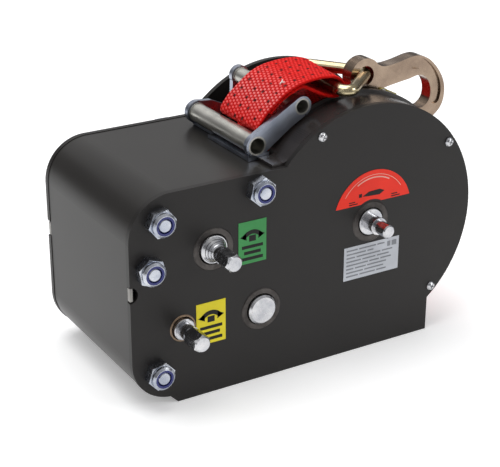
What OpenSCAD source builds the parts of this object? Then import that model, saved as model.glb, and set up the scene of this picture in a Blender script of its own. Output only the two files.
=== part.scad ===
// Boat trailer winch with a 50 mm webbing strap, two geared hex drives and one direct drive.
// The side plates' round lobe is centred lobe_height above the Y axis; the base stands on Z = 0; the front plate faces -Y.

/* [Case] */
// Clear distance between the two side plates
plate_gap = 119; // [110:1:145]
// Thickness of each side plate
plate_t = 4; // [3:0.5:6]
// Height of the centre of the round lobe above the underside
lobe_height = 93; // [93:0.5:105]
// Radius of the round drum lobe of the side plates
lobe_r = 87; // [85:0.5:95]
// Distance from the lobe's centre to the left end of the case
case_left = 181.5; // [179:0.5:215]
// Height of the flat top of the case
case_top = 148.8; // [147:0.2:160]
// Distance from the lobe's centre to the short right edge
case_right = 54.6; // [45:0.2:62]
// Radius of the two round corners at the left end
corner_r = 30; // [26:1:34]
// Thickness of the wrapped cover sheet
cover_t = 2; // [1.5:0.1:2.5]
// How far the foot strip reaches below the round corner
foot_h = 5.4; // [4.5:0.1:8]
// Thickness of the base plate
base_t = 4; // [3:0.5:5]

/* [Mounting] */
// Diameter of the four mounting holes in the base
mount_d = 11; // [9:0.5:14]
// Spacing of the mounting holes along the case
mount_dx = 120; // [100:1:130]
// Spacing of the mounting holes across the case
mount_dy = 80; // [60:1:90]

/* [Gears] */
// Module of the drum stage
module_drum = 2.5; // [2.5:0.1:2.6]
// Module of the two input stages
module_input = 2; // [1.9:0.05:2.05]
// Face width of the drum gear
main_gear_w = 8; // [6:0.5:9]
// Face width of the gear for the slow input
slow_gear_w = 6; // [4:0.5:6.5]
// Face width of the gear for the fast input
fast_gear_w = 5; // [4:0.5:5.5]

/* [Drum and strap] */
// Width of the webbing
strap_w = 50; // [40:1:52]
// Thickness of the webbing
strap_t = 2.2; // [1.6:0.1:2.6]
// Room on the drum beside the webbing
drum_room = 10; // [6:0.5:16]
// Radius of the drum flanges
flange_r = 79.2; // [70:0.2:79.6]
// Radius of the drum core
core_r = 22; // [18:0.5:28]
// Outer radius of the wound strap
coil_r = 79; // [60:0.2:79.2]

/* [Drive ends] */
// Width across flats of the hex drive ends
hex_af = 11; // [10:0.5:12]
// Length that the hex drives stand out of the front plate
drive_out = 27.5; // [22:0.5:34]
// Length that the direct drive stands out of the front plate
direct_out = 22; // [18:0.5:28]

/* [Fairlead] */
// Width of the fairlead over its arms
fairlead_w = 84; // [70:1:94]
// Outer radius of the lower roller
lower_roller_r = 6.5; // [5.5:0.1:6.8]
// Outer radius of the upper roller
upper_roller_r = 5.6; // [5:0.1:6.2]

/* [Hook] */
// Wire diameter of the link
link_d = 8; // [6:0.5:9]
// Thickness of the hook
hook_t = 10; // [8:0.5:12]

/* [Hidden] */

$fn = 64;
eps = 0.01;
running_gap = 0.05;   // radial clearance of a shaft in its bush
wall_gap = 0.3;       // clearance between loose neighbours

// Places along Y
half_gap = plate_gap / 2;
front_y = -half_gap - plate_t;   // outer face of the front plate
rear_y = half_gap + plate_t;     // outer face of the rear plate

// Gear teeth
z_main = 58;
z_pinion = 20;
z_idler_slow = 45;
z_slow = 14;
z_idler_fast = 36;
z_fast = 27;
pressure_angle = 25;
backlash = 0.36;

// Shaft axes, [x, z]. Each sits at its gear distance from the one before.
lobe_axis = [0, lobe_height];
drum_axis = lobe_axis + [1.4, 3.3];
idler_dir = 206.93;
slow_dir = 179;
fast_dir = 124.8;
drum_dist = module_drum * (z_main + z_pinion) / 2;
slow_dist = module_input * (z_idler_slow + z_slow) / 2;
fast_dist = module_input * (z_idler_fast + z_fast) / 2;
idler_axis = drum_axis + drum_dist * unit(idler_dir);
slow_axis = idler_axis + slow_dist * unit(slow_dir);
fast_axis = idler_axis + fast_dist * unit(fast_dir);

cover_inset = 0.4;                // the cover and the band lie this far inside the plates' edge

// Gear planes, from the front plate inwards
gear_gap = 1;
main_y = -half_gap + gear_gap;
slow_y = main_y + main_gear_w + gear_gap;
fast_y = slow_y + slow_gear_w + gear_gap;
gear_room = fast_y + fast_gear_w + gear_gap + half_gap;   // depth of the gear chamber
ring_t = 2;
ring_y = -half_gap + gear_room;
ring_stand = 2.4;            // how far the ring stands above the band

// Drum, from the gear chamber inwards
flange_t = 3;
drum_y = ring_y + ring_t + 1.6;       // front face of the front flange
coil_y = drum_y + flange_t + wall_gap;
drum_w = strap_w + drum_room;         // clear width between the flanges
rear_flange_y = drum_y + flange_t + drum_w;

// Shaft journals and the bushes around them
drum_journal_r = 9.5;
fast_journal_r = 9.9;
slow_journal_r = 7.5;
idler_journal_r = 10.4;
drum_bush_r = 14.7;
fast_bush_r = 14.7;
slow_bush_r = 9.5;
idler_bush_r = 15;
bush_stand = 0.6;            // how far a bush stands out of its plate
drum_core_bore = 12;         // radius of the drum shaft inside the drum
circlip_t = 1.2;

// Tie bolts, [x, z], measured from the case edges
bolt_r = 5;
nut_af = 17;
nut_h = 6.4;
nut_collar_r = 8.1;
nut_total = 10;
nylon_r = 6.4;               // outer radius of the nylon ring in a nut
bolt_axes = [
    [fast_axis[0] + 33.38, case_top - 10.7],
    [-case_left + 21.1, case_top - 17.2],
    [-case_left + 13.2, case_top - 48.6],
    [-case_left + 18.1, 25.5],
];
spacer_r = 6.4;

// Cover screws on a circle inside the lobe
screw_circle = lobe_r - 5;
screw_dirs = [119, 36.7, -46];
screw_r = 2;
screw_head_r = 3.3;
lug_r = 4;

// Fairlead, [x, z]. It stands at the right edge of the cover's flat top.
cover_right = -sqrt(pow(lobe_r, 2) - pow(case_top - lobe_height, 2));
lower_axis = [cover_right - 9.25, case_top + 9.5];
upper_axis = lower_axis + [34.5, 21.2];
boss_r = 8.1;
upper_boss_r = 6.9;
arm_t = 4;
arm_y = fairlead_w / 2 - arm_t;
fairlead_base_t = 2.2;
fairlead_left = lower_axis[0] - 6.7;
fairlead_right = lower_axis[0] + 9;

// Link and hook, [x, z]. The bar of the link rests on the strap's loop, and the loop on the ring.
link_bar = [-12.4, lobe_height + lobe_r - cover_inset + ring_stand + strap_t + link_d / 2];
link_y = -19.2;               // middle of the bar
link_half = strap_w / 2 + link_d / 2 + 3.2;
link_bend = hook_t / 2 + link_d / 2 - 0.4; // radius at the hook
link_corner = 5;              // radius at the ends of the bar
eye_reach = 26.6 + link_d / 2; // from the bar to the hook's eye
link_reach = eye_reach + 2.6 - link_bend;
link_yaw = -6;
eye_hole_r = link_d / 2 + 3;
eye_r = eye_hole_r + 5.3;
eye_axis = [link_bar[0] + eye_reach, link_bar[1] - 0.9];

// Strap: centre line of the webbing as [x, z, y step, share of the link's yaw]
// Its front edge is at lead_y at step 0, inside the fairlead's front arm at step 1, and over the arm at step 2.
curl_y = -arm_y + 0.8;
lead_y = max(ring_y + ring_t + 2, curl_y);
arch_y = link_y + 0.9 - strap_w / 2;
lead_r = coil_r + strap_t / 2 + 0.6;
loop_r = link_d / 2 + strap_t / 2 + 0.7;
function on_coil(a) = [drum_axis[0] + lead_r * cos(a), drum_axis[1] + lead_r * sin(a), 0, 0];
function by_roller(p) = [lower_axis[0] + p[0], lower_axis[1] + p[1], p[2], 0];
function by_bar(p) = [link_bar[0] + p[0], link_bar[1] + p[1], 2, p[2]];
function round_bar(a, r) = [link_bar[0] + r * cos(a), link_bar[1] + r * sin(a), 2, 1];
lead_path = concat(
    [for (a = [90, 98, 105.2, 111.9, 118.9]) on_coil(a)],
    [for (p = [[26, 6.3, 0], [16, 4.9, 0.3], [10, 4.9, 0.7], [6, 6.3, 0.9], [4, 9.7, 1]]) by_roller(p)]
);
loop_path = concat(
    [for (p = [[4, 9.7, 1], [6.6, 14.3, 1.03], [11, 19.5, 1.07], [16, 25.7, 1.48], [21.2, 31.5, 1.83],
        [26.5, 34.9, 2], [33.5, 37.1, 2]]) by_roller(p)],
    [for (p = [[-20.6, 8.5, 0.2], [-10.6, 8.7, 0.5], [-2.4, 7.5, 0.8]]) by_bar(p)],
    [for (a = [53.5, 0, -35.3, -71.9]) round_bar(a, loop_r)],
    [for (p = [[-3, -5.6, 0.9], [-9.6, -4, 0.6], [-16.6, -1, 0.3]]) by_bar(p)],
    [for (p = [[40, 32.3, 2], [34, 34.7, 2], [27.5, 32.75, 2], [22.8, 29.7, 1.76], [17.8, 24.15, 1.31],
        [12.9, 18, 1.07]]) by_roller(p)]
);

hook_y = -23.5;               // middle plane of the hook

// Front outline of the hook without its eye, from the eye along the top to the tip and back, from eye_axis
hook_path = [
    [7, 9.4], [12.6, 5.4], [18, 4.4], [27, 5.4], [34, 6.8], [40, 7.9], [46, 7.7], [53.4, 4.6], [59.8, -1],
    [64.8, -7.4], [68.1, -14], [69.4, -21], [68.6, -28.6], [65.3, -34.6], [59.3, -39.2], [52.6, -41.4],
    [46.8, -40.7], [42.6, -37], [41.6, -32.8], [44.4, -30.2], [49.4, -30.9], [53, -29.3], [56, -25.9],
    [57, -20.6], [56.2, -15.6], [53.5, -10.4], [49.4, -7], [44.4, -6.4], [37.2, -7.8], [28, -9], [20, -10.2],
    [14, -11.2], [5, -11],
];
recess_path = [[42, 2.6], [47.6, 1.6], [53, -2.4], [57.8, -8], [61, -14.4], [62.2, -21], [61, -27]];
recess_r = 3.9;
recess_depth = 1.6;
latch_axis = [13.2, -13.4];   // pivot of the latch, from eye_axis

// Brake on the fast shaft
brake_y = -10;
brake_flange_t = 6;
friction_t = 2.5;
ratchet_t = 6;
ratchet_r = 28;
ratchet_root_r = 23.5;
ratchet_teeth = 16;
ratchet_bore = 11;
ratchet_flat = 3;
pawl_axis = bolt_axes[0];
pawl_t = 5.4;

function unit(a) = [cos(a), sin(a)];
function inv(a) = tan(a) * 180 / PI - a;

// Half of a tooth's angle at radius r
function half_tooth(m, z, r) =
    let (rp = m * z / 2, rb = rp * cos(pressure_angle), c = min(1, rb / r))
    90 / z - backlash / (4 * rp) * 180 / PI + inv(pressure_angle) - inv(acos(c));

// Outline of a spur gear with a tooth centred on angle a0
function gear_points(m, z, a0) =
    let (
        rp = m * z / 2, rb = rp * cos(pressure_angle), tip = rp + m, root = rp - 1.25 * m,
        flank = max(root, rb), radii = [flank, (flank + tip) / 2, tip],
        foot = root < rb ? [root] : []
    )
    [for (i = [0 : z - 1]) let (c = a0 + i * 360 / z) each concat(
        [for (r = foot) r * unit(c - half_tooth(m, z, rb))],
        [for (r = radii) r * unit(c - half_tooth(m, z, r))],
        [for (k = [2, 1, 0]) radii[k] * unit(c + half_tooth(m, z, radii[k]))],
        [for (r = foot) r * unit(c + half_tooth(m, z, rb))]
    )];

// Tooth angle of a gear that meshes with one of z1 teeth at angle a1, seen in direction dir
function mesh_angle(z1, a1, dir, z2) = dir + 180 - (0.5 - (dir - a1) * z1 / 360) * 360 / z2;

main_angle = 0;
pinion_angle = mesh_angle(z_main, main_angle, idler_dir, z_pinion);
slow_angle = mesh_angle(z_idler_slow, 0, slow_dir, z_slow);
fast_angle = mesh_angle(z_idler_fast, 0, fast_dir, z_fast);

// Outline of a band of thickness t along a path
function side(path, t, s) = [for (i = [0 : len(path) - 1])
    let (a = path[max(0, i - 1)], b = path[min(len(path) - 1, i + 1)], d = (b - a) / norm(b - a))
    path[i] + s * t / 2 * [-d[1], d[0]]];
function reversed(v) = [for (i = [len(v) - 1 : -1 : 0]) v[i]];
function band_points(path, t) = concat(side(path, t, 1), reversed(side(path, t, -1)));

// A flat XZ outline made t thick, from Y = y0
module slab(y0, t) translate([0, y0 + t, 0]) rotate([90, 0, 0]) linear_extrude(t) children();

// A round rod along Y at p, from y0 to y1
module rod(p, y0, y1, r) translate([p[0], y1, p[1]]) rotate([90, 0, 0]) cylinder(h = y1 - y0, r = r);

// A tube along Y
module tube(p, y0, y1, r, bore) difference() {
    rod(p, y0, y1, r);
    rod(p, y0 - 1, y1 + 1, bore);
}

// A turned shape along Y at p: outline points are [radius, y]
module turned(p, outline) translate([p[0], 0, p[1]]) rotate([-90, 0, 0]) rotate_extrude() polygon(outline);

// A hexagonal bar along Y at p, measured across its flats
module hex_bar(p, y0, y1, af, turn = 0) translate([p[0], y1, p[1]]) rotate([90, 0, 0]) rotate([0, 0, turn])
    cylinder(h = y1 - y0, r = af / sqrt(3), $fn = 6);

module gear(p, y0, w, m, z, a0, bore) difference() {
    slab(y0, w) translate(p) polygon(gear_points(m, z, a0));
    rod(p, y0 - 1, y0 + w + 1, bore);
}

// Solid outline of the box part of the case, drawn in by inset
module case_outline(inset, right) {
    r = corner_r - inset;
    translate([-case_left + inset, foot_h + corner_r])
        square([case_left - inset + right, case_top - foot_h - 2 * corner_r]);
    translate([-case_left + corner_r, foot_h + inset])
        square([case_left - corner_r + right, case_top - foot_h - 2 * inset]);
    for (z = [foot_h + corner_r, case_top - corner_r]) translate([-case_left + corner_r, z]) circle(r);
}

notch_axis = [-case_left, foot_h + (case_top - foot_h) * 0.555];
notch_r = 5.6;
foot_left = -case_left + 32.5;

module plate_outline() difference() {
    union() {
        case_outline(0, 0);
        translate(lobe_axis) circle(lobe_r, $fn = 128);
        translate([foot_left, 0]) square([case_right - foot_left, foot_h + 1]);
        polygon([[foot_left + eps, 0], [foot_left + eps, foot_h], [foot_left - foot_h, foot_h]]);
        translate([-1, 0]) square([case_right + 1, lobe_height]);
    }
    translate(notch_axis) circle(notch_r);
    for (b = bolt_axes) translate(b) circle(bolt_r + 0.25);
    translate(drum_axis) circle(drum_bush_r);
    translate(fast_axis) circle(fast_bush_r);
    translate(slow_axis) circle(slow_bush_r);
    translate(idler_axis) circle(idler_bush_r);
}

module front_plate() color("#2a2828") difference() {
    slab(front_y, plate_t) plate_outline();
    for (a = screw_dirs) rod(lobe_axis + screw_circle * unit(a), front_y - 1, front_y + plate_t + 1, screw_r + 0.2);
}

module rear_plate() color("#2a2828") slab(half_gap, plate_t) plate_outline();

// Wrapped sheet: flat top, left end and the two round corners, with a tab in each notch
tab_w = 9;
module wrap_cover() color("#33312f") {
    slab(-half_gap, plate_gap) difference() {
        case_outline(cover_inset, cover_right);
        case_outline(cover_inset + cover_t, cover_right + 1);
        translate([foot_left - foot_h, 0]) square([case_left, corner_r]);
    }
    for (y = [front_y + 1, half_gap - eps])
        translate([-case_left + cover_inset, y, notch_axis[1] - tab_w / 2])
            cube([cover_t, plate_t - 1 + eps, tab_w]);
}

// Band over the drum gear, with a curled foot on the case and a drop to the base
band_t = 2;
band_y = -half_gap;
band_end = -51.3;
foot_len = 8;
curl_r = 7;
foot_w = half_gap - fairlead_w / 2 - 0.6;
module band_sector(r_out, r_in, a0, a1) difference() {
    circle(r_out, $fn = 128);
    circle(r_in, $fn = 128);
    cut = 3 * r_out;
    polygon(concat([[0, 0]], [for (k = [0 : 4]) cut * unit(a1 + (a0 + 360 - a1) * k / 4)]));
}
module gear_cover() color("#2e2c2b") {
    r = lobe_r - cover_inset;
    seat = case_top + 0.05;
    foot_top = seat + band_t;
    curl = [-sqrt(pow(r + curl_r, 2) - pow(foot_top + curl_r - lobe_height, 2)), foot_top + curl_r];
    touch = lobe_axis + (curl - lobe_axis) * r / (r + curl_r);
    start = acos(cover_right / lobe_r) - 0.6;
    difference() {
        union() {
            slab(band_y, foot_w) {
                translate([curl[0] - foot_len, seat]) square([foot_len + touch[0] - curl[0] + 1, band_t]);
                difference() {
                    polygon([[curl[0], seat], [curl[0], foot_top], touch, [touch[0] + 3.2, seat + 1.2],
                        [touch[0] + 2.4, seat]]);
                    translate(curl) circle(curl_r);
                }
            }
            slab(band_y, gear_room) {
                translate(lobe_axis) band_sector(r, r - band_t, band_end, start);
                translate([case_right - cover_inset - band_t, base_t + wall_gap])
                    square([band_t, lobe_height + lobe_r * sin(band_end) - base_t + 1.6]);
            }
            for (a = screw_dirs) {
                p = lobe_axis + screw_circle * unit(a);
                rod(p, band_y, band_y + 7, lug_r);
            }
        }
        for (a = screw_dirs) rod(lobe_axis + screw_circle * unit(a), band_y - 1, band_y + 8, screw_r);
        translate(drum_axis_at(band_y + main_gear_w + 3)) rotate([90, 0, 0])
            cylinder(h = main_gear_w + 4, r = module_drum * (z_main / 2 + 1) + 0.5);
    }
}
function drum_axis_at(y) = [drum_axis[0], y, drum_axis[1]];

module gear_cover_ring() color("#3a3938") {
    start = acos((cover_right + 5) / lobe_r);
    slab(ring_y, ring_t) translate(lobe_axis)
        band_sector(lobe_r - cover_inset + ring_stand, flange_r - 3, band_end + 3, start);
}

// Base plate with two low flanges along the side plates
base_flange_h = 8;
base_left = foot_left + 2;
base_right = case_right - 1;
mount_mid = -45;
mount_points = [for (sx = [-1, 1], sy = [-1, 1]) [mount_mid + sx * mount_dx / 2, sy * mount_dy / 2]];
module base_plate() color("#2c2a2a") difference() {
    union() {
        translate([base_left, -half_gap, 0]) cube([base_right - base_left, plate_gap, base_t]);
        for (y = [-half_gap, half_gap - 3]) translate([base_left, y, base_t - eps])
            cube([base_right - base_left - band_t - 2, 3, base_flange_h]);
    }
    for (p = mount_points) translate([p[0], p[1], -1]) cylinder(h = base_t + 2, d = mount_d);
}

// Tie bolts, their tubes and their nuts
module spacer_tubes() color("silver")
    for (b = bolt_axes) tube(b, -half_gap, half_gap, spacer_r, bolt_r + 0.2);

bolt_head_h = 6.4;
module tie_bolts() color("silver") for (b = bolt_axes) {
    turned(b, [[0, front_y - nut_total + 0.4], [bolt_r - 1.2, front_y - nut_total + 0.4],
        [bolt_r, front_y - nut_total + 1.5], [bolt_r, rear_y], [0, rear_y]]);
    hex_bar(b, rear_y, rear_y + bolt_head_h, nut_af);
}

module lock_nuts() color("gainsboro") for (i = [0 : 3]) {
    b = bolt_axes[i];
    difference() {
        union() {
            intersection() {
                hex_bar(b, front_y - nut_h, front_y, nut_af, [18, 8, 40, 12][i]);
                turned(b, [[0, front_y], [nut_af, front_y], [nut_af, front_y - nut_h + 3],
                    [nut_af / 2 - 0.1, front_y - nut_h], [0, front_y - nut_h]]);
            }
            turned(b, [[0, front_y - nut_h + 1], [nut_collar_r, front_y - nut_h + 1],
                [nut_collar_r, front_y - nut_total + 1.2], [nut_collar_r - 1.4, front_y - nut_total],
                [0, front_y - nut_total]]);
        }
        rod(b, front_y - nut_total - 1, front_y + 1, bolt_r + 0.02);
        rod(b, front_y - nut_total - 1, front_y - nut_total + 2.4, nylon_r);
    }
}

module nylon_rings() color("#2c3192")
    for (b = bolt_axes) tube(b, front_y - nut_total + 0.2, front_y - nut_total + 2.4, nylon_r, bolt_r);

// Pan head screws that hold the gear cover to the front plate
screw_head_h = 2.2;
module cover_screws() color("silver") for (a = screw_dirs) {
    p = lobe_axis + screw_circle * unit(a);
    rod(p, front_y - 0.5, band_y + 6, screw_r - 0.05);
    difference() {
        turned(p, [[0, front_y], [screw_head_r, front_y], [screw_head_r, front_y - 0.8],
            [screw_head_r - 0.6, front_y - 1.6], [screw_head_r - 1.6, front_y - screw_head_h],
            [0, front_y - screw_head_h]]);
        for (turn = [20, 110]) translate([p[0], front_y - screw_head_h, p[1]]) rotate([0, turn, 0])
            cube([3.6, 2.4, 0.7], center = true);
    }
}

// Bushes: one in each side plate
bush_len = plate_t + 2 * bush_stand;
module bush_pair(p, r, journal) {
    for (front = [true, false]) {
        out = front ? front_y - bush_stand : rear_y + bush_stand;
        dir = front ? 1 : -1;
        mirror_y = dir;
        translate([p[0], out, p[1]]) rotate([-90 * mirror_y, 0, 0]) difference() {
            rotate_extrude() polygon([[journal + running_gap + 0.8, 0], [r - 0.5, 0], [r, 0.5],
                [r, bush_len], [journal + running_gap, bush_len], [journal + running_gap, 1.2]]);
        }
    }
}
module drum_bushes() color("#77736f") bush_pair(drum_axis, drum_bush_r, drum_journal_r);
module fast_bushes() color("#77736f") bush_pair(fast_axis, fast_bush_r, fast_journal_r);
module slow_bushes() color("#b18a5a") bush_pair(slow_axis, slow_bush_r, slow_journal_r);
module idler_bushes() color("#77736f") bush_pair(idler_axis, idler_bush_r, idler_journal_r);

// Circlip on the rear end of a shaft
rear_tail = 3;
clip_y = rear_y + bush_stand + 0.2;
module circlip(p, journal) color("#3c3c40") difference() {
    rod(p, clip_y, clip_y + circlip_t, journal + 2.2);
    rod(p, clip_y - 1, clip_y + circlip_t + 1, journal - 0.6);
    translate([p[0] - 2, clip_y - 1, p[1]]) cube([4, circlip_t + 2, journal + 4]);
}
module drum_circlip() circlip(drum_axis, drum_journal_r);
module idler_circlip() circlip(idler_axis, idler_journal_r);
module fast_circlip() circlip(fast_axis, fast_journal_r);
module slow_circlip() circlip(slow_axis, slow_journal_r);

// Rear end of a shaft's outline, with the circlip groove
function tail(r) = [[r, clip_y], [r - 0.6, clip_y], [r - 0.6, clip_y + circlip_t], [r, clip_y + circlip_t],
    [r, clip_y + rear_tail - 0.8], [r - 0.8, clip_y + rear_tail], [0, clip_y + rear_tail]];

// Shaft that ends in a hex: neck points are [radius, distance out of the front plate], from the hex inwards
module drive_shaft(p, journal, out, hex_from, neck, turn) {
    tip = front_y - out;
    base = front_y - hex_from;
    hex_r = hex_af / sqrt(3);
    turned(p, concat([[0, base - 1], [hex_af / 2 - 0.3, base - 1], [hex_af / 2 - 0.3, base]],
        [for (q = neck) [q[0], front_y - q[1]]], [[journal, front_y]], tail(journal)));
    intersection() {
        hex_bar(p, tip, base, hex_af, turn);
        turned(p, [[0, tip], [hex_af / 2 - 0.7, tip], [hex_r + 0.1, tip + 2.2], [hex_r + 0.1, base - 0.8],
            [hex_af / 2 - 0.2, base], [0, base]]);
    }
}
// Threaded cone and neck of the fast shaft, plain neck of the slow shaft
fast_neck = [
    [5.9, 12.6], [5.9, 11.9], [4.9, 11.5], [4.9, 8.2], [5.6, 7.4], [5.9, 6.8], [5.7, 6.5], [6.7, 5.4],
    [6.9, 4.8], [6.6, 4.5], [7.6, 3.4], [7.8, 2.8], [7.5, 2.5], [8.9, 1.3], [9.5, 1.2],
];
slow_neck = [[5.9, 11.6], [5.9, 11], [5.3, 10.6], [5.3, 3.2], [6.9, 3.1], [7.5, 2.6]];

// Drum
module drum_shaft() color("silver") {
    tip = front_y - direct_out;
    collar_y = front_y - 10.6;
    turned(drum_axis, concat([
        [0, tip], [3.9, tip], [4.7, tip + 0.9], [4.7, collar_y], [6, collar_y], [6.3, collar_y + 0.3],
        [6.3, collar_y + 1.1], [5.8, collar_y + 1.5], [5.8, front_y - 1.4],
        [drum_journal_r - 0.4, front_y - 1.4], [drum_journal_r, front_y - 1],
        [drum_journal_r, -half_gap + bush_stand + 0.2], [drum_core_bore, -half_gap + bush_stand + 0.2],
        [drum_core_bore, half_gap - bush_stand - 0.2], [drum_journal_r, half_gap - bush_stand - 0.2]],
        tail(drum_journal_r)));
}
module drum_core() color("#35332f") tube(drum_axis, drum_y - 1.6, half_gap - 2, core_r, drum_core_bore);
module drum_flange(y) turned(drum_axis, [[core_r, y], [flange_r - 1, y], [flange_r, y + 1],
    [flange_r, y + flange_t - 1], [flange_r - 1, y + flange_t], [core_r, y + flange_t]]);
module front_flange() color("#35332f") drum_flange(drum_y);
module rear_flange() color("#35332f") drum_flange(rear_flange_y);
module main_gear() color("#6f6d6a") {
    gear(drum_axis, main_y, main_gear_w, module_drum, z_main, main_angle, drum_core_bore);
    tube(drum_axis, main_y + 1, drum_y - 1.6, core_r, drum_core_bore);
}
module strap_coil() color("#d8202a") tube(drum_axis, coil_y, coil_y + strap_w, coil_r, core_r);

// Idler shaft with its pinion and two gears
idler_core_r = 11.4;
module idler_shaft() color("silver") {
    face = front_y - 3.2;
    turned(idler_axis, concat([[0, face], [idler_journal_r - 1.3, face], [idler_journal_r, face + 1.3],
        [idler_journal_r, -half_gap + bush_stand + 0.2], [idler_core_r, -half_gap + bush_stand + 0.2],
        [idler_core_r, fast_y + fast_gear_w + 0.5], [idler_journal_r, fast_y + fast_gear_w + 0.5]],
        tail(idler_journal_r)));
    slab(main_y - 0.2, main_gear_w + 0.4) translate(idler_axis)
        polygon(gear_points(module_drum, z_pinion, pinion_angle));
}
module idler_slow_gear() color("#6f6d6a")
    gear(idler_axis, slow_y, slow_gear_w, module_input, z_idler_slow, 0, idler_core_r);
module idler_fast_gear() color("#6f6d6a")
    gear(idler_axis, fast_y, fast_gear_w, module_input, z_idler_fast, 0, idler_core_r);

// Fast input shaft with its gear and the brake
fast_core_r = 11;
module fast_shaft() color("silver") {
    drive_shaft(fast_axis, fast_journal_r, drive_out, 12.6, fast_neck, 10);
    tube(fast_axis, -half_gap + bush_stand + 0.2, half_gap - bush_stand - 0.2, fast_core_r, fast_journal_r - 1);
}
module fast_gear() color("#6f6d6a")
    gear(fast_axis, fast_y, fast_gear_w, module_input, z_fast, fast_angle, fast_core_r);

friction_y = brake_y + brake_flange_t;
ratchet_y = friction_y + friction_t + running_gap;
friction2_y = ratchet_y + ratchet_t + running_gap;
module brake_flange() color("#6f6d6a") {
    tube(fast_axis, brake_y, friction_y, ratchet_root_r - 1, fast_core_r);
    tube(fast_axis, friction2_y + friction_t, friction2_y + friction_t + brake_flange_t,
        ratchet_root_r - 1, fast_core_r);
}
module friction_discs() color("#5a4636") {
    tube(fast_axis, friction_y, friction_y + friction_t, ratchet_root_r - 2, fast_core_r);
    tube(fast_axis, friction2_y, friction2_y + friction_t, ratchet_root_r - 2, fast_core_r);
}

// Ratchet wheel that runs free between the friction discs, its teeth raked against the pawl
ratchet_step = 360 / ratchet_teeth;
pawl_dir = atan2(pawl_axis[1] - fast_axis[1], pawl_axis[0] - fast_axis[0]);
tooth_dir = pawl_dir - 42;        // where the pawl meets a tooth
module ratchet_wheel() color("#6f6d6a") difference() {
    slab(ratchet_y, ratchet_t) translate(fast_axis) polygon([for (i = [0 : ratchet_teeth - 1])
        let (a = tooth_dir + i * ratchet_step)
        each [ratchet_r * unit(a - ratchet_flat), ratchet_r * unit(a), ratchet_root_r * unit(a)]]);
    rod(fast_axis, ratchet_y - 1, ratchet_y + ratchet_t + 1, fast_core_r + running_gap);
}

// Slow input shaft with its pinion
module slow_shaft() color("silver") {
    drive_shaft(slow_axis, slow_journal_r, drive_out - 0.7, 11.6, slow_neck, 26);
    difference() {
        union() {
            slab(slow_y - 0.2, slow_gear_w + 0.4) translate(slow_axis)
                polygon(gear_points(module_input, z_slow, slow_angle));
            for (s = [-1, 1]) rod(slow_axis, s < 0 ? -half_gap + bush_stand + 0.2 : slow_y + slow_gear_w + 4,
                s < 0 ? main_y + 5 : half_gap - bush_stand - 0.2, slow_journal_r + 1.5);
        }
        rod(slow_axis, -half_gap, half_gap, slow_journal_r - 1);
    }
}

// Pawl on the first tie bolt's tube, with its spring
pawl_y = ratchet_y + (ratchet_t - pawl_t) / 2;
pawl_hub_r = 8;
pawl_gap = 2.6;                   // angle between the engaged pawl's end and the tooth
pawl_lift = 7.5;                  // the pawl is drawn lifted this far off the teeth
module pawl() color("#8a8886") {
    tip = fast_axis + (ratchet_root_r + 1.1) * unit(tooth_dir + pawl_gap);
    heel = fast_axis + (ratchet_r + 3.5) * unit(tooth_dir + pawl_gap);
    d = (pawl_axis - tip) / norm(pawl_axis - tip);
    n = [d[1], -d[0]];
    difference() {
        union() {
            rod(pawl_axis, pawl_y, pawl_y + pawl_t, pawl_hub_r);
            slab(pawl_y, pawl_t) translate(pawl_axis) rotate(pawl_lift)
                polygon([for (q = [tip, pawl_axis, pawl_axis + (pawl_hub_r - 0.3) * n, heel]) q - pawl_axis]);
        }
        rod(pawl_axis, pawl_y - 1, pawl_y + pawl_t + 1, spacer_r + running_gap);
    }
}
module pawl_spring() color("silver") {
    wire = 0.6;
    r = spacer_r + 1;
    y = pawl_y + pawl_t + 1.1;
    for (k = [0 : 3]) translate([pawl_axis[0], y + k * 1.4, pawl_axis[1]])
        rotate([90, 0, 0]) rotate_extrude() translate([r, 0]) circle(wire, $fn = 16);
    translate([pawl_axis[0], y, pawl_axis[1]]) rotate([0, 205, 0])
        translate([r, 0, 0]) cylinder(h = 12, r = wire - 0.1, $fn = 16);
    translate([pawl_axis[0] - r, y, pawl_axis[1]]) rotate([-90, 0, 0]) cylinder(h = 4.2, r = wire - 0.1, $fn = 16);
}

// Fairlead: base with a step at its rear end, a straight front arm and a cranked rear arm
base_step = 5;
module fairlead_frame() color("#c9ccd0") difference() {
    union() {
        translate([fairlead_left, -fairlead_w / 2, case_top])
            cube([fairlead_right - fairlead_left, fairlead_w * 0.64, fairlead_base_t]);
        translate([fairlead_left + base_step, -fairlead_w / 2, case_top])
            cube([fairlead_right - fairlead_left - base_step, fairlead_w, fairlead_base_t]);
        slab(-fairlead_w / 2, arm_t) {
            arm_bosses();
            front_arm();
            arm_foot(0);
        }
        slab(arm_y, arm_t) {
            arm_bosses();
            rear_arm();
            arm_foot(base_step);
        }
    }
    rod(lower_axis, -fairlead_w, fairlead_w, lower_roller_r + running_gap);
    rod(upper_axis, -fairlead_w, fairlead_w, upper_roller_r + running_gap);
}
module arm_bosses() {
    translate(lower_axis) circle(boss_r);
    translate(upper_axis) circle(upper_boss_r);
}
// The lower edge of the front arm bends once between the bosses
module front_arm() {
    d = (upper_axis - lower_axis) / norm(upper_axis - lower_axis);
    n = [-d[1], d[0]];
    polygon([lower_axis + boss_r * n, upper_axis + upper_boss_r * n, upper_axis - upper_boss_r * n,
        upper_axis - 14 * d - 6.4 * n, lower_axis - boss_r * n]);
}
module rear_arm() polygon([
    lower_axis + [2, boss_r - 0.3], lower_axis + [11, 7], lower_axis + [25, 0.6], lower_axis + [28, 5],
    lower_axis + [28.4, 19], upper_axis + [-upper_boss_r, 0.5], upper_axis + [upper_boss_r, 0],
    upper_axis + [3, -8], lower_axis + [26, -2.4], lower_axis + [4, -boss_r + 1],
]);
module arm_foot(step) translate([fairlead_left + step, case_top]) square([fairlead_right - fairlead_left - step, 4]);

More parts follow.
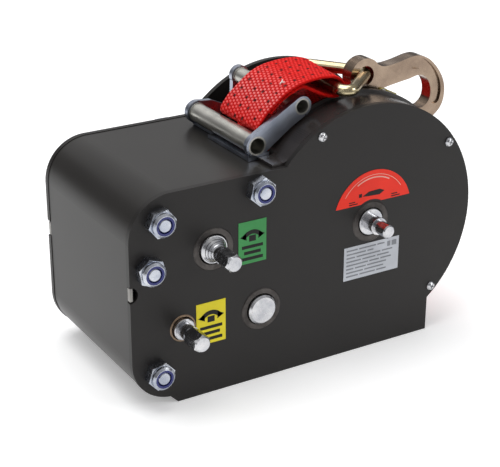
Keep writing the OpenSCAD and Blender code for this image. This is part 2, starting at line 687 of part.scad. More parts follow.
// A hollow roller that turns in the arms
roller_wall = 1.1;
module roller(p, r) {
    face = fairlead_w / 2;
    difference() {
        union() {
            rod(p, -face, face, r);
            for (s = [-1, 1]) rod(p, s * (arm_y - 1) - 0.6, s * (arm_y - 1) + 0.6, r + 0.4);
        }
        rod(p, -face - 1, face + 1, r - roller_wall);
    }
}
module lower_roller() color("#c9ccd0") roller(lower_axis, lower_roller_r);
module upper_roller() color("#c9ccd0") roller(upper_axis, upper_roller_r);

// Strap: a lead from the coil to the rollers, and the arch that ends in a sewn loop round the link
function front_edge(k) = k < 1 ? lead_y + k * (curl_y - lead_y) : curl_y + (k - 1) * (arch_y - curl_y);
module webbing(path) {
    flat = [for (q = path) [q[0], q[1]]];
    n = len(path);
    outer = side(flat, strap_t, 1);
    inner = side(flat, strap_t, -1);
    function at(q, i, y) = [q[0] - path[i][3] * (y - link_y) * tan(link_yaw), y, q[1]];
    points = [for (i = [0 : n - 1]) let (y = front_edge(path[i][2])) each [
        at(inner[i], i, y), at(outer[i], i, y), at(outer[i], i, y + strap_w), at(inner[i], i, y + strap_w)]];
    faces = [for (i = [0 : n - 2], k = [0 : 3]) let (a = 4 * i + k, b = 4 * i + (k + 1) % 4)
        each [[a, b, b + 4], [a, b + 4, a + 4]]];
    e = 4 * (n - 1);
    polyhedron(points, concat(faces, [[3, 2, 1], [3, 1, 0], [e, e + 1, e + 2], [e, e + 2, e + 3]]));
}
module strap_lead() color("#d8202a") webbing(lead_path);
module strap_loop() color("#d8202a") webbing(loop_path);

// A round bar swept along a closed flat path of [x, y] points
module ring_sweep(path, d, sides) {
    n = len(path);
    points = [for (i = [0 : n - 1]) let (
            a = path[(i + n - 1) % n], b = path[(i + 1) % n], t = (b - a) / norm(b - a)
        ) for (k = [0 : sides - 1]) let (q = k * 360 / sides)
            [path[i][0] + d / 2 * cos(q) * t[1], path[i][1] - d / 2 * cos(q) * t[0], d / 2 * sin(q)]];
    faces = [for (i = [0 : n - 1], k = [0 : sides - 1]) let (j = (i + 1) % n, m = (k + 1) % sides)
        [i * sides + k, i * sides + m, j * sides + m, j * sides + k]];
    polyhedron(points, faces);
}
function arc(c, r, a0, a1, n) = [for (i = [0 : n]) c + r * unit(a0 + (a1 - a0) * i / n)];

// Triangular link: a bar through the strap and an end bend through the hook's eye
module link() color("#b59a55") {
    y = link_half - link_corner;
    more = link_bend - link_corner;
    open = atan2(link_reach - link_corner, y) + asin(more / norm([link_reach - link_corner, y]));
    path = concat(
        arc([link_reach, 0], link_bend, -open, open, 12),
        arc([link_corner, y], link_corner, open, 180, 20),
        [[0, y / 2], [0, 0], [0, -y / 2]],
        arc([link_corner, -y], link_corner, 180, 360 - open, 20)
    );
    translate([link_bar[0], link_y, link_bar[1]]) rotate([0, 0, link_yaw]) {
        ring_sweep(path, link_d, 20);
        translate([0, y - 1, 0]) rotate([90, 0, 0]) cylinder(h = 2 * y - 2, r = link_d / 2 + 0.02);
    }
}

// Catmull-Rom curve through points, n steps per span, closed or open
function spline(a, b, c, d, t) = 0.5 * (2 * b + (c - a) * t + (2 * a - 5 * b + 4 * c - d) * t * t
    + (3 * b - a - 3 * c + d) * t * t * t);
function smooth(p, n) = [for (i = [0 : len(p) - 2], k = [0 : n - 1])
    spline(p[max(0, i - 1)], p[i], p[i + 1], p[min(len(p) - 1, i + 2)], k / n)];

// Forged hook in the XZ plane: eye, shank and bowl, with a recess in each face of the bowl
module hook() color("#b78f6a") {
    outline = smooth(hook_path, 4);
    recess = smooth(recess_path, 4);
    front = hook_y - hook_t / 2;
    difference() {
        union() {
            rod(eye_axis, front, front + hook_t, eye_r);
            slab(front, hook_t) translate(eye_axis) polygon(outline);
            rod(eye_axis + latch_axis, front, front + hook_t, 3.8);
        }
        rod(eye_axis, front - 1, front + hook_t + 1, eye_hole_r);
        rod(eye_axis + latch_axis, front - 1, front + hook_t + 1, 1.8);
        for (y = [front - 1, front + hook_t - recess_depth])
            slab(y, recess_depth + 1) translate(eye_axis) {
                polygon(band_points(recess, 2 * recess_r));
                for (p = [recess[0], recess[len(recess) - 1]]) translate(p) circle(recess_r);
            }
    }
}

// Sprung latch: a strip from its pivot to the hook's tip, with an ear on each side of the shank
latch_gap = 0.3;
module latch() color("#8f8a3a") {
    pivot = eye_axis + latch_axis;
    w = hook_t / 2 + latch_gap;
    difference() {
        union() {
            for (y = [hook_y - w - 1, hook_y + w]) slab(y, 1) {
                translate(pivot) circle(3.2);
                polygon([pivot + [0, -3.2], pivot + [2, 2.6], pivot + [13, -2.9], pivot + [10.4, -6.6]]);
            }
            slab(hook_y - w - 1, 2 * w + 2)
                polygon([for (p = [[8.2, -1.8], [12.6, -3.3], [26.9, -14.2], [27.5, -16], [26, -15.4], [8, -3.6]])
                    pivot + p]);
        }
        rod(pivot, hook_y - w - 2, hook_y + w + 2, 1.8 + running_gap);
    }
}
module latch_rivet() color("silver") {
    p = eye_axis + latch_axis;
    w = hook_t / 2 + latch_gap + 1.1;
    rod(p, hook_y - w, hook_y + w, 1.8);
    for (y = [hook_y - w - 1, hook_y + w]) rod(p, y, y + 1, 2.8);
}

// Labels on the front plate
label_t = 0.3;
module label(x, z, w, h) translate([x, front_y - label_t, z]) cube([w, label_t, h]);
module label_green() color("#3f9a4f") label(fast_axis[0] + 18.4, fast_axis[1] - 16.3, 21, 29.8);
module label_yellow() color("#e6dc2c") label(slow_axis[0] + 9.8, slow_axis[1] - 16.2, 21.8, 30);
module label_red() color("#e0261d") slab(front_y - label_t, label_t) difference() {
    translate(drum_axis + [1.6, 5.6]) circle(31.6);
        translate(drum_axis + [-40, -60]) square([90, 60 + 14]);
    translate(drum_axis) circle(drum_bush_r + 1.6);
}
module label_white() color("gainsboro") label(lobe_axis[0] - 19.5, lobe_axis[1] - 37.4, 46, 24.8);

front_plate();
rear_plate();
wrap_cover();
gear_cover();
gear_cover_ring();
base_plate();
spacer_tubes();
tie_bolts();
lock_nuts();
nylon_rings();
cover_screws();
drum_bushes();
fast_bushes();
slow_bushes();
idler_bushes();
drum_shaft();
drum_core();
front_flange();
rear_flange();
main_gear();
drum_circlip();
strap_coil();
idler_shaft();
idler_slow_gear();
idler_fast_gear();
idler_circlip();
fast_shaft();
fast_gear();
brake_flange();
friction_discs();
fast_circlip();
ratchet_wheel();
slow_shaft();
slow_circlip();
pawl();
pawl_spring();
fairlead_frame();
lower_roller();
upper_roller();
strap_lead();
strap_loop();
link();
hook();
latch();
latch_rivet();
label_green();
label_yellow();
label_red();
label_white();
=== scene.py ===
import math

import bmesh
import bpy
from mathutils import Matrix, Vector


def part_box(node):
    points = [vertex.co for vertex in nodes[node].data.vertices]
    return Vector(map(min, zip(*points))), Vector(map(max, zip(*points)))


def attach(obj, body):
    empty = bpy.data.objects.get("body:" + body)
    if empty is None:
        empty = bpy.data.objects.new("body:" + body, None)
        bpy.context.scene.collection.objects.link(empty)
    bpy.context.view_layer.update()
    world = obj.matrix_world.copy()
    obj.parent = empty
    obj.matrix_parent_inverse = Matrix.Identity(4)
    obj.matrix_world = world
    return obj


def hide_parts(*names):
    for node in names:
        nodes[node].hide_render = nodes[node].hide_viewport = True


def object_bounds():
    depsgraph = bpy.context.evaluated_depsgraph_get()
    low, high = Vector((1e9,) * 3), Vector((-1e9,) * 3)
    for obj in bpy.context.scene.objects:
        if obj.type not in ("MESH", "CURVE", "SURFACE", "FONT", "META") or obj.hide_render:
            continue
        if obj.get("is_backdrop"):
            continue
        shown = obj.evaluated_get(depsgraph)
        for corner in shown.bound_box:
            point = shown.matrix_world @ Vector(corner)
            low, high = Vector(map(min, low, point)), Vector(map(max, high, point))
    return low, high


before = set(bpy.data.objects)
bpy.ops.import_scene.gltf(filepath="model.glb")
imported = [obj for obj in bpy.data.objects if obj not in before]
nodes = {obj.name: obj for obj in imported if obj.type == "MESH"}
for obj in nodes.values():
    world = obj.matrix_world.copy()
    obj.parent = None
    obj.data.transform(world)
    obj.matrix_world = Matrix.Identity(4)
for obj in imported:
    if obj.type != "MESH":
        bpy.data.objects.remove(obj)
cad_lo, cad_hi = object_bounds()


# ---------- camera ----------
def add_camera():
    yaw, pitch, roll = math.radians(31.086), math.radians(23.728), math.radians(0.204)
    fwd = Vector((math.sin(yaw) * math.cos(pitch), math.cos(yaw) * math.cos(pitch), -math.sin(pitch)))
    right = Vector((math.cos(yaw), -math.sin(yaw), 0))
    up = right.cross(fwd)
    r = right * math.cos(roll) + up * math.sin(roll)
    u = r.cross(fwd)
    cam = bpy.data.objects.new("camera", bpy.data.cameras.new("camera"))
    bpy.context.scene.collection.objects.link(cam)
    m = Matrix((r, u, -fwd)).transposed().to_4x4()
    m.translation = Vector((-0.5185, -0.7671, 0.4697))
    cam.matrix_world = m
    cam.data.lens, cam.data.sensor_width = 100.05, 36
    cam.data.clip_start, cam.data.clip_end = 0.05, 50
    bpy.context.scene.camera = cam


add_camera()


# ---------- materials ----------
def new_mat(name, color, metal=0.0, rough=0.5, **sockets):
    m = bpy.data.materials.new(name)
    m.use_nodes = True
    b = m.node_tree.nodes["Principled BSDF"]
    b.inputs["Base Color"].default_value = (*color, 1)
    b.inputs["Metallic"].default_value = metal
    b.inputs["Roughness"].default_value = rough
    for k, v in sockets.items():
        b.inputs[k.replace("_", " ")].default_value = v
    return m


def node(m, kind, **props):
    n = m.node_tree.nodes.new(kind)
    for k, v in props.items():
        setattr(n, k, v)
    return n


def link(m, a, b):
    m.node_tree.links.new(a, b)


def coords(m):
    return node(m, "ShaderNodeTexCoord").outputs["Object"]


def noise(m, scale, detail=3.0, rough=0.5, vec=None):
    n = node(m, "ShaderNodeTexNoise")
    n.inputs["Scale"].default_value = scale
    n.inputs["Detail"].default_value = detail
    n.inputs["Roughness"].default_value = rough
    link(m, vec or coords(m), n.inputs["Vector"])
    return n.outputs["Fac"]


def ramp(m, fac, stops):
    n = node(m, "ShaderNodeValToRGB")
    els = n.color_ramp.elements
    while len(els) < len(stops):
        els.new(0.5)
    for e, (p, c) in zip(els, stops):
        e.position = p
        e.color = (*c, 1) if len(c) == 3 else c
    link(m, fac, n.inputs["Fac"])
    return n.outputs["Color"]


def bump(m, height, strength, distance):
    n = node(m, "ShaderNodeBump")
    n.inputs["Strength"].default_value = strength
    n.inputs["Distance"].default_value = distance
    link(m, height, n.inputs["Height"])
    link(m, n.outputs["Normal"], m.node_tree.nodes["Principled BSDF"].inputs["Normal"])


def bsdf(m):
    return m.node_tree.nodes["Principled BSDF"]


def powder(name, color, rough=0.55, grain=0.15):
    m = new_mat(name, color, 0, rough)
    bump(m, noise(m, 900, 2), grain, 0.00012)
    link(m, ramp(m, noise(m, 14, 2), [(0.3, [c * 0.93 for c in color]), (0.7, [c * 1.07 for c in color])]),
         bsdf(m).inputs["Base Color"])
    return m


def plated(name, color, rough=0.28, tint=None, scale=60):
    m = new_mat(name, color, 1.0, rough)
    tint = tint or [c * 0.8 for c in color]
    link(m, ramp(m, noise(m, scale, 4, 0.6), [(0.35, tint), (0.65, color)]), bsdf(m).inputs["Base Color"])
    link(m, ramp(m, noise(m, scale * 3, 3), [(0.3, [rough * 0.8] * 3), (0.7, [min(1, rough * 1.25)] * 3)]),
         bsdf(m).inputs["Roughness"])
    return m


black = powder("black_powder", (0.014, 0.0125, 0.0118), 0.40, 0.22)
cover = powder("cover_paint", (0.020, 0.0185, 0.017), 0.34, 0.10)
band = powder("band_paint", (0.030, 0.026, 0.025), 0.24, 0.06)
for paint in (black, cover):
    bsdf(paint).inputs["Specular IOR Level"].default_value = 0.26


# bare pressed metal on the ends of the cover's tabs, outside the case
def bare_tabs(m):
    sep = node(m, "ShaderNodeSeparateXYZ")
    link(m, coords(m), sep.inputs[0])
    absolute = node(m, "ShaderNodeMath", operation="ABSOLUTE")
    link(m, sep.outputs["Y"], absolute.inputs[0])
    out = node(m, "ShaderNodeMath", operation="GREATER_THAN")
    link(m, absolute.outputs[0], out.inputs[0])
    out.inputs[1].default_value = 0.0596
    mix = node(m, "ShaderNodeMixRGB")
    link(m, out.outputs[0], mix.inputs["Fac"])
    base = bsdf(m).inputs["Base Color"]
    link(m, base.links[0].from_socket, mix.inputs[1])
    mix.inputs[2].default_value = (0.30, 0.29, 0.27, 1)
    link(m, mix.outputs[0], base)


bare_tabs(cover)
zinc = plated("zinc", (0.62, 0.62, 0.63), 0.24, (0.40, 0.41, 0.44), 90)
nut_zinc = plated("nut_zinc", (0.60, 0.62, 0.66), 0.26, (0.36, 0.39, 0.46), 70)
gear = plated("gear_steel", (0.36, 0.35, 0.34), 0.4)
ring_mat = plated("bush", (0.088, 0.081, 0.077), 0.40, (0.050, 0.046, 0.044), 120)
bronze = plated("bronze", (0.34, 0.24, 0.16), 0.42, (0.20, 0.15, 0.11), 120)
nylon = powder("nylon", (0.018, 0.025, 0.16), 0.38, 0.05)
spring = plated("spring_steel", (0.25, 0.25, 0.27), 0.35)
lining = powder("friction", (0.20, 0.13, 0.08), 0.8)
satin = plated("fairlead", (0.42, 0.45, 0.52), 0.32, (0.28, 0.31, 0.38), 35)
roller_mat = plated("roller", (0.62, 0.61, 0.56), 0.36, (0.50, 0.49, 0.45), 30)
pink_gold = plated("yellow_zinc", (0.38, 0.29, 0.215), 0.24, (0.22, 0.16, 0.12), 38)
gold = plated("gold_zinc", (0.56, 0.48, 0.30), 0.20, (0.30, 0.25, 0.15), 60)
olive = plated("olive_zinc", (0.36, 0.32, 0.10), 0.3, (0.24, 0.20, 0.07), 60)


def film(name, color, rough=0.5):
    m = new_mat(name, color, 0, rough)
    worn = [c * 0.9 for c in color]
    fresh = [min(1, c * 1.05) for c in color]
    link(m, ramp(m, noise(m, 60, 3), [(0.3, worn), (0.7, fresh)]), bsdf(m).inputs["Base Color"])
    bsdf(m).inputs["Specular IOR Level"].default_value = 0.2
    bump(m, noise(m, 400, 2), 0.06, 0.0001)
    return m


label_green = film("label_green", (0.055, 0.28, 0.085))
label_yellow = film("label_yellow", (0.78, 0.66, 0.03))
label_red = film("label_red", (0.80, 0.035, 0.018))
label_white = film("label_white", (0.50, 0.52, 0.56))
ink = film("ink", (0.012, 0.012, 0.012))
ink_grey = film("ink_grey", (0.22, 0.23, 0.25))
ink_pale = film("ink_pale", (0.75, 0.36, 0.30))
thread = film("thread", (0.80, 0.74, 0.70), 0.8)


# webbing: red yarn with painted highlights, paler where the weave stands up along the stretch that faces the
# light, painted shade where the weave lies low, and rows of black tracer yarn
def webbing_material():
    m = new_mat("strap", (0.7, 0.012, 0.012), 0, 0.62)
    b = bsdf(m)
    b.inputs["Specular IOR Level"].default_value = 0.08
    att = node(m, "ShaderNodeAttribute", attribute_name="weave")
    sep = node(m, "ShaderNodeSeparateXYZ")
    link(m, att.outputs["Vector"], sep.inputs[0])
    red = ramp(m, noise(m, 500, 3), [(0.25, (0.58, 0.003, 0.002)), (0.75, (0.90, 0.008, 0.004))])
    # painted highlight: pink-white mixed in by the weave attribute's X, on raised weave along the stretch
    # that faces the light
    painted_highlight = node(m, "ShaderNodeMixRGB")
    link(m, sep.outputs["X"], painted_highlight.inputs["Fac"])
    link(m, red, painted_highlight.inputs[1])
    painted_highlight.inputs[2].default_value = (0.95, 0.46, 0.46, 1)
    dark = node(m, "ShaderNodeMixRGB")
    link(m, sep.outputs["Y"], dark.inputs["Fac"])
    link(m, painted_highlight.outputs[0], dark.inputs[1])
    dark.inputs[2].default_value = (0.015, 0.010, 0.010, 1)
    # painted shade: darker where the weave lies low, in the dips between ribs
    low = node(m, "ShaderNodeMixRGB", blend_type="MULTIPLY")
    low.inputs["Fac"].default_value = 1
    link(m, dark.outputs[0], low.inputs[1])
    link(m, ramp(m, sep.outputs["Z"], [(0.0, (0.55, 0.45, 0.45)), (0.6, (1, 1, 1))]), low.inputs[2])
    link(m, low.outputs[0], b.inputs["Base Color"])
    bump(m, noise(m, 1500, 2), 0.3, 0.0002)
    return m


webbing = webbing_material()

MATERIALS = {
    "front_plate": black, "rear_plate": black, "base_plate": black,
    "wrap_cover": cover, "gear_cover": band, "gear_cover_ring": band,
    "spacer_tubes": zinc, "tie_bolts": nut_zinc, "lock_nuts": nut_zinc, "cover_screws": zinc,
    "nylon_rings": nylon,
    "drum_bushes": ring_mat, "fast_bushes": ring_mat, "idler_bushes": ring_mat, "slow_bushes": bronze,
    "drum_core": black, "front_flange": black, "rear_flange": black,
    "main_gear": gear, "idler_slow_gear": gear, "idler_fast_gear": gear, "fast_gear": gear,
    "brake_flange": gear, "ratchet_wheel": gear, "pawl": gear,
    "drum_shaft": zinc, "idler_shaft": zinc, "fast_shaft": zinc, "slow_shaft": zinc, "latch_rivet": zinc,
    "drum_circlip": spring, "idler_circlip": spring, "fast_circlip": spring, "slow_circlip": spring,
    "pawl_spring": spring, "friction_discs": lining,
    "fairlead_frame": satin, "lower_roller": roller_mat, "upper_roller": roller_mat,
    "strap_coil": webbing, "strap_lead": webbing, "strap_loop": webbing,
    "link": gold, "hook": pink_gold, "latch": olive,
    "label_green": label_green, "label_yellow": label_yellow,
    "label_red": label_red, "label_white": label_white,
}
for name, obj in nodes.items():
    obj.data.materials.clear()
    obj.data.materials.append(MATERIALS[name])


# ---------- helpers for new pieces (millimetres in, metres out) ----------
def piece(name, verts, faces, mat, body, smooth=True):
    me = bpy.data.meshes.new(name)
    me.from_pydata([[c / 1000 for c in v] for v in verts], [], faces)
    me.update()
    o = bpy.data.objects.new(name, me)
    bpy.context.scene.collection.objects.link(o)
    me.materials.append(mat)
    for p in me.polygons:
        p.use_smooth = smooth
    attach(o, body)
    return o


def mm(node_name):
    lo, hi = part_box(node_name)
    return [c * 1000 for c in lo], [c * 1000 for c in hi]


# stores the painted highlight's share, tracer yarn and weave height at each point, for the webbing material
def set_weave(o, data):
    att = o.data.attributes.new("weave", "FLOAT_VECTOR", "POINT")
    att.data.foreach_set("vector", [c for d in data for c in d])


def face_outward(o):
    bm = bmesh.new()
    bm.from_mesh(o.data)
    bmesh.ops.recalc_face_normals(bm, faces=bm.faces)
    bm.to_mesh(o.data)
    bm.free()


# ---------- strap ----------
STRAP_W, STRAP_T = 50.0, 2.2
LOBE_Z, LINK_Y, LINK_YAW = 93.0, -19.2, math.radians(-6)
# centre line of the webbing as x, z from the lobe's centre, y of the front edge, share of the link's yaw
STRAP = [
    (1.4, 84.0, -31.5, 0), (-9.8, 83.2, -31.5, 0), (-19.8, 81.2, -31.5, 0), (-28.7, 78.2, -31.5, 0),
    (-37.6, 74.0, -31.5, 0), (-50, 71.6, -31.5, 0), (-60, 70.2, -33.2, 0), (-66, 70.2, -35.5, 0),
    (-70, 71.6, -36.6, 0), (-72, 75, -37.2, 0), (-69.4, 79.6, -37.4, 0), (-65, 84.8, -37.6, 0),
    (-60, 91, -40.1, 0), (-54.8, 96.8, -42.3, 0), (-49.5, 100.2, -43.3, 0), (-42.5, 102.4, -43.3, 0),
    (-33, 103.7, -43.3, 0.2), (-23, 103.9, -43.3, 0.5), (-14.8, 102.7, -43.3, 0.8), (-9, 99.8, -43.3, 1),
    (-6.6, 95.2, -43.3, 1), (-7.6, 91.8, -43.3, 1), (-10.6, 89.7, -43.3, 1), (-15.4, 89.6, -43.3, 0.9),
    (-22, 91.2, -43.3, 0.6), (-29, 94.2, -43.3, 0.3), (-36, 97.6, -43.3, 0.1), (-42, 100, -43.3, 0),
    (-48.5, 98.05, -43.3, 0), (-53.2, 95, -41.8, 0), (-58.2, 89.45, -39.1, 0), (-63.1, 83.3, -37.6, 0),
]
COLUMNS, RIB = 16, 2.7
COLUMN_W = STRAP_W / COLUMNS
# rows of tracer yarn: their columns, spacing and length along the strap, and shift from column to column
TRACER_COLUMNS, TRACER_STEP, TRACER_LENGTH, TRACER_SHIFT = (2, 6, 9, 13), 7.2, 1.9, 2.6


def curve_points(path, step):
    fine = []
    for i in range(len(path) - 1):
        p = [path[max(0, i - 1)], path[i], path[i + 1], path[min(len(path) - 1, i + 2)]]
        for k in range(12):
            t = k / 12
            fine.append([0.5 * (2 * b + (c - a) * t + (2 * a - 5 * b + 4 * c - d) * t * t
                                + (3 * b - a - 3 * c + d) * t ** 3) for a, b, c, d in zip(*p)])
    fine.append(list(path[-1]))
    out, run = [fine[0]], 0.0
    total = sum(math.dist(a[:2], b[:2]) for a, b in zip(fine, fine[1:]))
    n = max(2, round(total / step))
    want = total / n
    for a, b in zip(fine, fine[1:]):
        d = math.dist(a[:2], b[:2])
        while d > 0 and run + d >= want * len(out) - 1e-9 and len(out) < n:
            t = (want * len(out) - run) / d
            out.append([x + (y - x) * t for x, y in zip(a, b)])
        run += d
    out.append(fine[-1])
    return out, total


# height of the weave from 0 to 1: ribs across the strap, staggered from column to column
def weave(s, v):
    col = v / COLUMN_W
    stagger = 0.5 * (int(col) % 2)
    rib = 0.5 + 0.5 * math.cos(2 * math.pi * (s / RIB + stagger))
    return (0.25 + 0.75 * abs(math.sin(math.pi * (col % 1)))) * rib


def tracer(s, v):
    col = int(v / COLUMN_W)
    on_row = (s + TRACER_SHIFT * col) % TRACER_STEP < TRACER_LENGTH
    return 1.0 if col in TRACER_COLUMNS and on_row and 0.2 < (v / COLUMN_W) % 1 < 0.95 else 0.0


def strap_mesh():
    pts, total = curve_points(STRAP, 0.68)
    across = 64
    verts, data = [], []
    n = len(pts)
    for i, (x, z, y0, yaw) in enumerate(pts):
        a, b = pts[max(0, i - 1)], pts[min(n - 1, i + 1)]
        dx, dz = b[0] - a[0], b[1] - a[1]
        d = math.hypot(dx, dz)
        nx, nz = -dz / d, dx / d
        s = total * i / (n - 1)
        # up: how strongly the painted highlight shows along the strap, strongest around 98 mm where the
        # strap faces the light
        up = min(1, max(0, 1 - abs(s - 98) / 24)) if s < 150 else 0
        for side in (1, -1):
            for j in range(across + 1):
                v = STRAP_W * j / across
                edge = min(v, STRAP_W - v)
                half = STRAP_T / 2 * (0.45 + 0.55 * min(1, edge / 0.9) ** 0.5)
                h = weave(s, v) * min(1, edge / 1.6)
                off = side * (half - 0.26 + 0.26 * h)
                y = y0 + v
                skew = -yaw * (y - LINK_Y) * math.tan(LINK_YAW)
                verts.append((x + nx * off + skew, y, LOBE_Z + z + nz * off))
                # painted sheen: pale highlight on the raised weave, mostly on the stretch that faces the
                # light
                sheen = (0.10 + 0.80 * up) * max(0, h - 0.25) ** 0.8
                data.append((sheen, tracer(s, v) * (0.9 if edge > 2 else 0), h))
    row = 2 * (across + 1)
    faces = []
    for i in range(n - 1):
        for j in range(across):
            a, b = i * row + j, (i + 1) * row + j
            faces.append((a, a + 1, b + 1, b))
            a, b = a + across + 1, b + across + 1
            faces.append((a, b, b + 1, a + 1))
        for j, flip in ((0, False), (across, True)):
            a, b = i * row + j, (i + 1) * row + j
            q = (a, b, b + across + 1, a + across + 1)
            faces.append(q[::-1] if flip else q)
    for i, flip in ((0, True), (n - 1, False)):
        for j in range(across):
            a = i * row + j
            q = (a, a + 1, a + across + 2, a + across + 1)
            faces.append(q[::-1] if flip else q)
    o = piece("strap", verts, faces, webbing, "frame")
    set_weave(o, data)
    return o, total


strap, strap_len = strap_mesh()
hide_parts("strap_lead", "strap_loop")


# the wound strap: layers that show as rings on both sides, woven outside
def wound_strap():
    lo, hi = mm("strap_coil")
    cx, cz = (lo[0] + hi[0]) / 2, (lo[2] + hi[2]) / 2
    r_out, r_in = (hi[0] - lo[0]) / 2, mm("drum_core")
    r_in = (r_in[1][0] - r_in[0][0]) / 2 + 0.02
    layers = round((r_out - r_in) / 2.3)
    step = (r_out - r_in) / layers
    y0, y1 = lo[1], hi[1]
    # a groove between layers and a flat edge on each, as shares of a layer and depth from the side
    side = ((0, 0.55), (0.3, 0.1), (0.7, 0.1))
    profile = [(r_in + (k + share) * step, y0 + depth) for k in range(layers) for share, depth in side]
    outer = [y0 + 0.4 + (y1 - y0 - 0.8) * j / 32 for j in range(33)]
    profile += [(r_out - 0.15, y) for y in outer]
    profile += [(r_in + (k + share) * step, y1 - depth)
                for k in reversed(range(layers)) for share, depth in reversed(side)]
    first, count, turns = 3 * layers, len(outer), 360
    verts, data, faces = [], [], []
    for i in range(turns):
        a = 2 * math.pi * i / turns
        for k, (r, y) in enumerate(profile):
            h = 0.6
            if first <= k < first + count:
                h = weave(r * a, y - y0)
                r = r - 0.22 * (1 - h)
            verts.append((cx + r * math.cos(a), y, cz + r * math.sin(a)))
            # painted sheen: a faint pale highlight on the coil, stronger on the raised weave
            data.append((0.08 * h, 0, h))
    m = len(profile)
    for i in range(turns):
        j = (i + 1) % turns
        for k in range(m):
            q = (k + 1) % m
            faces.append((i * m + k, j * m + k, j * m + q, i * m + q))
    o = piece("strap_wound", verts, faces, webbing, "drum")
    set_weave(o, data)
    face_outward(o)
    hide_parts("strap_coil")


wound_strap()


# a thin closed tube through points
def tube_piece(name, pts, r, mat, body, sides=8):
    verts, faces = [], []
    for i, p in enumerate(pts):
        t = (Vector(pts[min(i + 1, len(pts) - 1)]) - Vector(pts[max(i - 1, 0)])).normalized()
        u = t.cross(Vector((0, 1, 0.3))).normalized()
        w = t.cross(u)
        for k in range(sides):
            a = 2 * math.pi * k / sides
            verts.append(Vector(p) + r * (math.cos(a) * u + math.sin(a) * w))
    for i in range(len(pts) - 1):
        for k in range(sides):
            q = (k + 1) % sides
            faces.append((i * sides + k, i * sides + q, (i + 1) * sides + q, (i + 1) * sides + k))
    faces.append(tuple(reversed(range(sides))))
    faces.append(tuple((len(pts) - 1) * sides + k for k in range(sides)))
    return piece(name, verts, faces, mat, body)


top = LOBE_Z + 100.2 + 1.2
tube_piece("thread_end_a", [(-52.6, -31.6, top - 0.9), (-51.6, -31.2, top + 0.3), (-50.2, -30.2, top + 0.5),
                            (-49.4, -29.6, top + 1.4)], 0.38, thread, "frame")
tube_piece("thread_end_b", [(-51.2, -31.0, top + 0.1), (-50.4, -32.4, top + 0.7), (-50.0, -33.6, top + 0.8)],
           0.34, thread, "frame")


# ---------- printed marks ----------
def prints(name, shapes, y, mat, t=0.12):
    """Flat closed shapes [x, z] on a face that looks along -Y."""
    verts, faces = [], []
    for shape in shapes:
        k, n = len(verts), len(shape)
        area = sum(a[0] * b[1] - b[0] * a[1] for a, b in zip(shape, shape[1:] + shape[:1]))
        pts = shape if area > 0 else shape[::-1]
        verts += [(x, y - t, z) for x, z in pts] + [(x, y, z) for x, z in pts]
        faces.append(tuple(range(k, k + n)))
        faces.append(tuple(range(k + 2 * n - 1, k + n - 1, -1)))
        for i in range(n):
            j = (i + 1) % n
            faces.append((k + i, k + n + i, k + n + j, k + j))
    return piece(name, verts, faces, mat, "frame", smooth=False)


def bar(x0, z0, x1, z1):
    return [(x0, z0), (x1, z0), (x1, z1), (x0, z1)]


def arc_band(cx, cz, r0, r1, a0, a1, n=20):
    out = [(cx + r1 * math.cos(math.radians(a0 + (a1 - a0) * i / n)),
            cz + r1 * math.sin(math.radians(a0 + (a1 - a0) * i / n))) for i in range(n + 1)]
    return out + [(cx + r0 * math.cos(math.radians(a0 + (a1 - a0) * i / n)),
                   cz + r0 * math.sin(math.radians(a0 + (a1 - a0) * i / n))) for i in range(n, -1, -1)]


# curved double arrow over two rows of plain bars
def turn_mark(node_name):
    lo, hi = mm(node_name)
    cx, w, h = (lo[0] + hi[0]) / 2, hi[0] - lo[0], hi[2] - lo[2]
    y, cz = lo[1], lo[2] + 0.42 * h
    r0, r1 = 0.30 * w, 0.44 * w
    shapes = [arc_band(cx, cz + 0.06 * h, r0, r1, 28, 152)]
    for a, s in ((28, -1), (152, 1)):
        u = (math.cos(math.radians(a)), math.sin(math.radians(a)))
        t = (-s * -u[1], -s * u[0])
        m = (cx + u[0] * (r0 + r1) / 2, cz + 0.06 * h + u[1] * (r0 + r1) / 2)
        half, tip = 0.13 * w, 0.2 * w
        shapes.append([(m[0] + u[0] * half, m[1] + u[1] * half), (m[0] - u[0] * half, m[1] - u[1] * half),
                       (m[0] + t[0] * tip, m[1] + t[1] * tip)])
    for k, (a, b) in enumerate(((0.12, 0.88), (0.2, 0.8), (0.12, 0.88))):
        z = lo[2] + (0.08 + 0.14 * k) * h
        shapes.append(bar(lo[0] + a * w, z, lo[0] + b * w, z + 0.075 * h))
    shapes.append(bar(cx - 0.12 * w, lo[2] + 0.52 * h, cx + 0.12 * w, lo[2] + 0.66 * h))
    prints("mark_" + node_name, shapes, y, ink)


turn_mark("label_green")
turn_mark("label_yellow")

lo, hi = mm("label_white")
LINES = [(9, 14, 6), (16, 5, 12), (7, 20, 9), (12, 11, 10), (18, 8, 9), (6, 9, 16), (14, 16), (10, 13, 8)]
rows = []
for k, widths in enumerate(LINES):
    z = hi[2] - 2.6 - 2.75 * k
    x = lo[0] + 2
    for w in widths:
        if x + w > hi[0] - 2 or (k < 2 and x + w > hi[0] - 12):
            break
        rows.append(bar(x, z - 0.55, x + w, z + 0.45))
        x += w + 1.3
rows.append(bar(hi[0] - 10, hi[2] - 6, hi[0] - 7.4, hi[2] - 2.2))
rows.append(bar(hi[0] - 6.2, hi[2] - 6, hi[0] - 2.2, hi[2] - 2.2))
prints("mark_label_white", rows, lo[1], ink_grey)

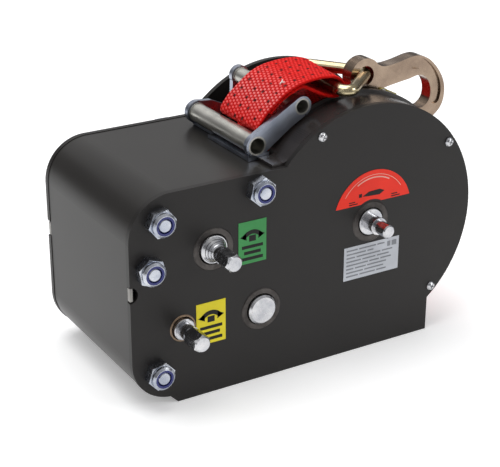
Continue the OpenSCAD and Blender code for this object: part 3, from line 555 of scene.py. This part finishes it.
lo, hi = mm("label_red")
cx, r = (lo[0] + hi[0]) / 2, (hi[0] - lo[0]) / 2
cz = hi[2] - r
arcs = [arc_band(cx, cz, r - 3.4, r - 3.0, 34, 148, 40), arc_band(cx, cz, r - 5.6, r - 4.7, 60, 122, 30)]
prints("mark_label_red_arcs", arcs, lo[1], ink_pale)
oval = [(cx - 9, cz + 13), (cx - 4, cz + 15.6), (cx + 5, cz + 16), (cx + 9, cz + 14.2), (cx + 5, cz + 12),
        (cx - 4, cz + 12.4)]
mark = [oval, bar(cx - 12, cz + 12.6, cx - 9.6, cz + 15.2)]
mark += [bar(cx - 20, lo[2] + 1.0, cx - 13, lo[2] + 1.7), bar(cx - 20, lo[2] + 2.6, cx - 15, lo[2] + 3.3),
         bar(cx + 15, lo[2] + 1.0, cx + 22, lo[2] + 1.7), bar(cx + 15, lo[2] + 2.6, cx + 20, lo[2] + 3.3)]
prints("mark_label_red", mark, lo[1], ink)


# ---------- pressed ribs on the band over the drum gear ----------
RIBS, RIB_START, RIB_STEP, RIB_ARC = 7, 121.6, 1.05, 0.42   # count, then degrees
RIB_RADII, RIB_ENDS = (86.3, 86.95), (-58.6, -45.5)


def band_ribs():
    verts, faces = [], []
    for k in range(RIBS):
        a0 = math.radians(RIB_START + RIB_STEP * k)
        a1 = a0 + math.radians(RIB_ARC)
        b = len(verts)
        for a in (a0, a1):
            for r in RIB_RADII:
                for y in RIB_ENDS:
                    verts.append((r * math.cos(a), y, LOBE_Z + r * math.sin(a)))
        faces += [(b, b + 1, b + 3, b + 2), (b + 4, b + 6, b + 7, b + 5), (b, b + 4, b + 5, b + 1),
                  (b + 2, b + 3, b + 7, b + 6), (b, b + 2, b + 6, b + 4), (b + 1, b + 5, b + 7, b + 3)]
    face_outward(piece("band_ribs", verts, faces, band, "frame", smooth=False))


band_ribs()


# ---------- floor and light ----------
def plane(name, size, place, mat):
    bpy.ops.mesh.primitive_plane_add(size=size, location=place)
    o = bpy.context.object
    o.name = name
    o.data.materials.append(mat)
    return o


floor_mat = new_mat("floor_white", (0.93, 0.93, 0.93), 0, 0.9)
bsdf(floor_mat).inputs["Emission Color"].default_value = (1, 1, 1, 1)
bsdf(floor_mat).inputs["Emission Strength"].default_value = 0.30
bsdf(floor_mat).inputs["Specular IOR Level"].default_value = 0.2
floor = plane("floor", 12, (0, 0, cad_lo.z - 0.0002), floor_mat)
floor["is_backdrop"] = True

world = bpy.data.worlds.new("studio")
bpy.context.scene.world = world
world.use_nodes = True
wt = world.node_tree
bg = wt.nodes["Background"]
tc = wt.nodes.new("ShaderNodeTexCoord")
sep = wt.nodes.new("ShaderNodeSeparateXYZ")
wt.links.new(tc.outputs["Generated"], sep.inputs[0])
sky = wt.nodes.new("ShaderNodeValToRGB")
els = sky.color_ramp.elements
brightness = ((0.0, 0.20), (1.0, 0.95), (0.12, 0.22), (0.55, 0.55))   # height in the sky, grey
for e, (p, c) in zip([els[0], els[1], els.new(0.5), els.new(0.7)], brightness):
    e.position = p
    e.color = (c, c, c * 1.03, 1)
wt.links.new(sep.outputs["Z"], sky.inputs["Fac"])
wt.links.new(sky.outputs["Color"], bg.inputs["Color"])
bg.inputs["Strength"].default_value = 0.62


def area(name, place, target, size, power, size_y=None):
    d = bpy.data.lights.new(name, "AREA")
    d.shape = "RECTANGLE"
    d.size, d.size_y = size, size_y or size
    d.energy = power
    o = bpy.data.objects.new(name, d)
    bpy.context.scene.collection.objects.link(o)
    o.location = place
    o.rotation_euler = (Vector(target) - Vector(place)).to_track_quat("-Z", "Y").to_euler()
    return o


middle = (-0.05, 0, 0.09)
area("top_box", (-0.25, 0.25, 1.5), middle, 1.3, 17)
area("front_box", (0.95, -1.2, 0.75), middle, 0.55, 6)
area("left_box", (-1.5, -0.5, 0.9), middle, 0.5, 1.4, 1.0)
area("back_strip", (0.2, 1.5, 0.8), middle, 1.6, 1.6, 0.4)

scene = bpy.context.scene
scene.view_settings.view_transform = "Standard"
scene.view_settings.look = "None"

lo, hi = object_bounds()
